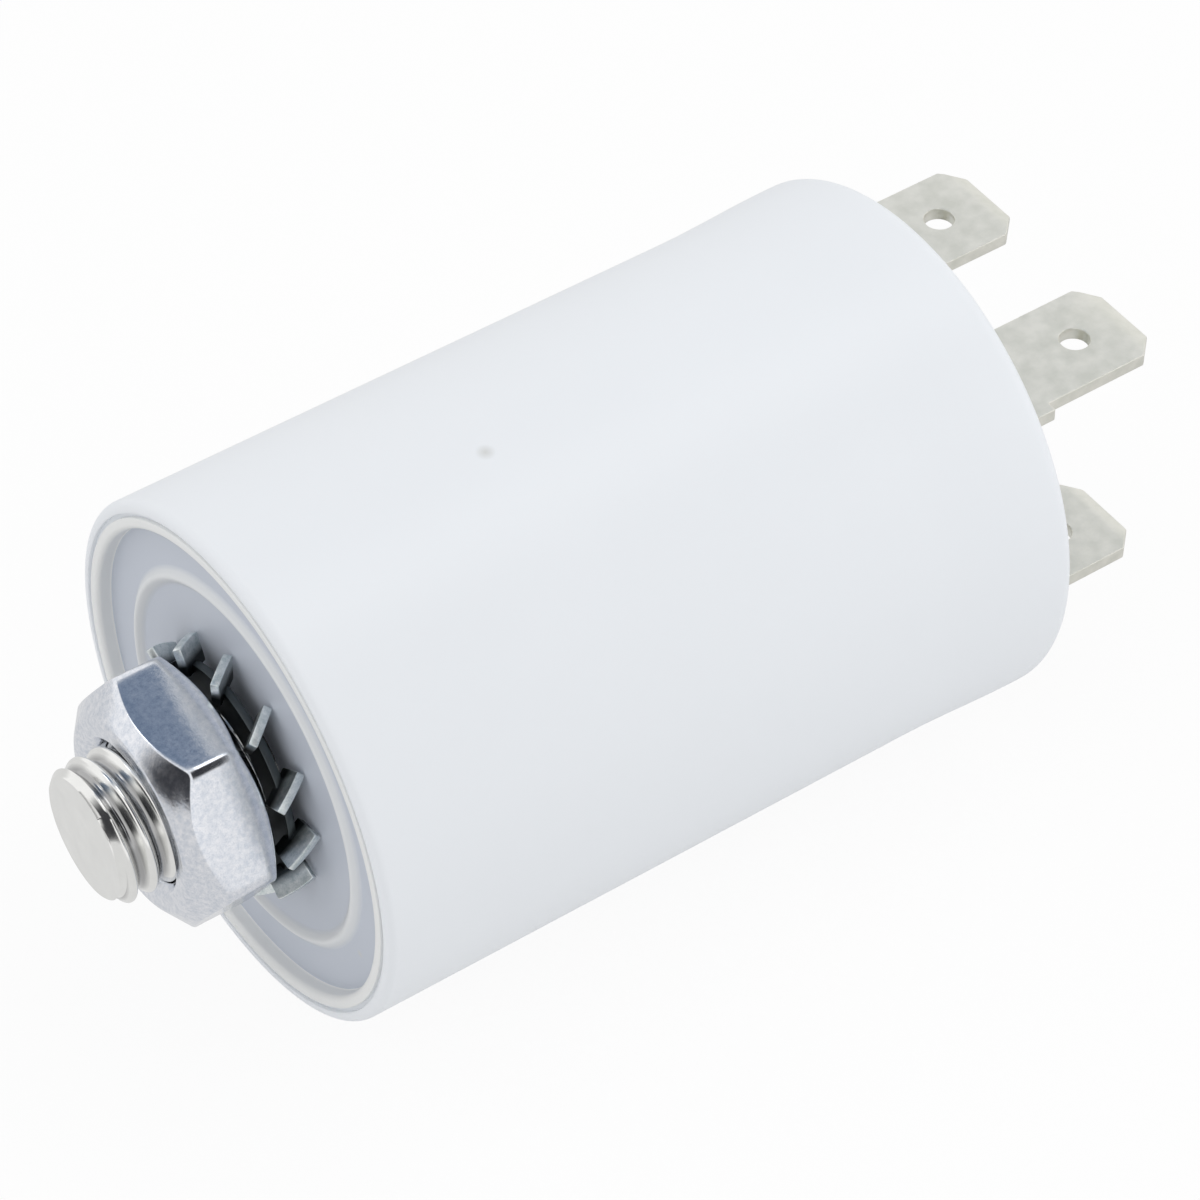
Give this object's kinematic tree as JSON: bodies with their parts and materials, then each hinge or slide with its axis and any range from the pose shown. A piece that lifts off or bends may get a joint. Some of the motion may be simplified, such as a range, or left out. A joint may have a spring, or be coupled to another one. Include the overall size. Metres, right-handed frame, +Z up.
{
  "type": "motor run capacitor",
  "caption": "Round white case with a threaded mounting stud, nut and tooth washer at the base and twin push-on tabs on each pole at the top.",
  "frame": {"origin": "on the stud's axis in the plane of the case's base rim", "axes": "+X along the case from the base to the tabs, +Z up with the case lying on its side, the tabs' broad faces level"},
  "size_m": [0.0631, 0.0305, 0.0304],
  "materials": {
    "case_plastic": "smooth moulded white, soft satin",
    "lid_plastic": "smooth moulded white",
    "bright_steel": "rolled thread, bright zinc",
    "zinc_plate": "bluish bright zinc plate",
    "washer_zinc": "bluish zinc plate on spring steel",
    "tinned_brass": "matt tin plate over stamped brass",
    "rivet_metal": "tin plate, pressed head",
    "inner_brass": "plain stamped",
    "metallised_film": "metallised film roll",
    "core_plastic": "moulded",
    "wrap_film": "film wrap",
    "sprayed_zinc": "rough sprayed metal",
    "tinned_wire": "tinned",
    "sleeve_plastic": "soft insulating sleeve",
    "solder": "bright solder",
    "resin": "cast resin"
  },
  "bodies": {
    "root": {"case": "case_plastic", "terminal_lid": "lid_plastic", "mounting_stud": "bright_steel", "hex_nut": "zinc_plate", "tooth_lock_washer": "washer_zinc", "terminal_left": "tinned_brass", "terminal_right": "tinned_brass", "rivet_left": "rivet_metal", "rivet_right": "rivet_metal", "solder_tag_left": "inner_brass", "solder_tag_right": "inner_brass", "film_winding": "metallised_film", "winding_core": "core_plastic", "winding_wrap": "wrap_film", "end_spray_lower": "sprayed_zinc", "end_spray_upper": "sprayed_zinc", "lead_lower": "tinned_wire", "lead_upper": "tinned_wire", "lead_sleeve": "sleeve_plastic", "solder_lower": "solder", "solder_upper": "solder", "solder_left": "solder", "solder_right": "solder", "potting_resin": "resin"}
  },
  "joints": []
}
